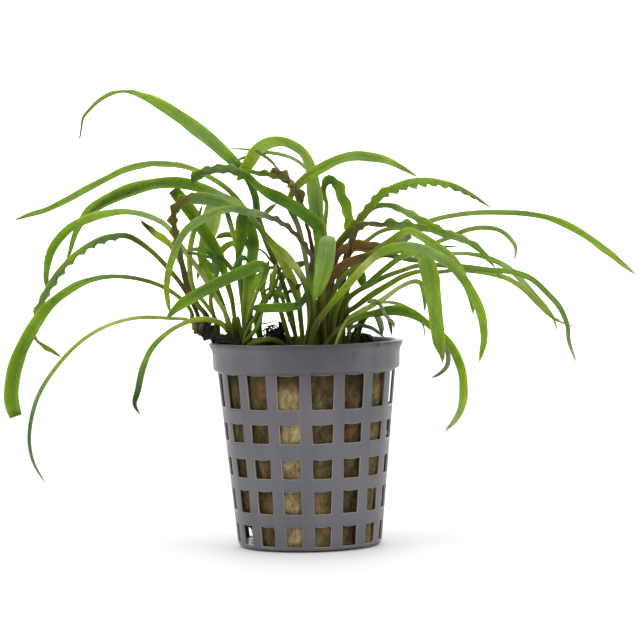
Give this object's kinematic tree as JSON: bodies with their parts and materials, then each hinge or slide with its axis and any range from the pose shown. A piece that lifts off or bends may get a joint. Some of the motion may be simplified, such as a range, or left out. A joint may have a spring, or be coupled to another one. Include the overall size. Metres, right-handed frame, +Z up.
{
  "type": "potted cryptocoryne",
  "caption": "Rosette of long narrow arching water-plant leaves, olive to brown, growing from a fibre plug in a round slotted net pot.",
  "frame": {"origin": "centre of the flat underside of the pot", "axes": "+Z up along the pot's axis; +X along the plant's widest spread, to the right in the picture; +Y away from the picture's viewer"},
  "size_m": [0.1653, 0.082, 0.1177],
  "materials": {
    "pot": "matt grey moulded polypropylene",
    "wool": "damp fibrous mineral wool, streaked tan, olive and dark brown",
    "rhizome": "rough dark brown rhizome and old sheaths",
    "roots": "dark fine roots",
    "leaf_green": "fresh mid-green leaf, slightly glossy, with fine long veins",
    "leaf_light": "fresh light yellow-green leaf",
    "leaf_dark": "fresh dark green leaf, crinkled in places",
    "leaf_brown": "olive-brown to purple-brown leaf, crinkled"
  },
  "bodies": {
    "root": {"pot": "pot", "wool": "wool", "crown_left": "rhizome", "rhizome": "rhizome", "roots_left": "roots", "roots_right": "roots", "leaf_01": "leaf_green", "leaf_02": "leaf_light", "leaf_03": "leaf_dark", "leaf_04": "leaf_green", "leaf_05": "leaf_dark", "leaf_06": "leaf_green", "leaf_07": "leaf_green", "leaf_08": "leaf_dark", "leaf_09": "leaf_light", "leaf_10": "leaf_brown", "leaf_11": "leaf_green", "leaf_12": "leaf_light", "leaf_13": "leaf_dark", "leaf_14": "leaf_green", "leaf_15": "leaf_brown", "leaf_16": "leaf_dark", "leaf_17": "leaf_green", "leaf_18": "leaf_green", "leaf_19": "leaf_green", "leaf_20": "leaf_green", "leaf_21": "leaf_dark", "leaf_22": "leaf_brown", "leaf_23": "leaf_light", "leaf_24": "leaf_brown", "leaf_25": "leaf_brown", "leaf_26": "leaf_green", "leaf_27": "leaf_light", "leaf_28": "leaf_green", "leaf_29": "leaf_light", "leaf_30": "leaf_light", "leaf_31": "leaf_light", "leaf_32": "leaf_dark", "leaf_33": "leaf_light", "leaf_34": "leaf_dark", "leaf_35": "leaf_dark", "leaf_36": "leaf_light", "leaf_37": "leaf_light", "leaf_38": "leaf_dark", "leaf_39": "leaf_dark", "leaf_40": "leaf_dark", "leaf_41": "leaf_dark", "leaf_42": "leaf_light", "leaf_43": "leaf_dark", "leaf_44": "leaf_light", "leaf_45": "leaf_dark", "leaf_46": "leaf_light", "leaf_47": "leaf_brown", "leaf_48": "leaf_dark", "leaf_49": "leaf_light", "leaf_50": "leaf_green", "leaf_51": "leaf_light", "leaf_52": "leaf_light", "leaf_53": "leaf_light", "leaf_54": "leaf_dark"}
  },
  "joints": []
}
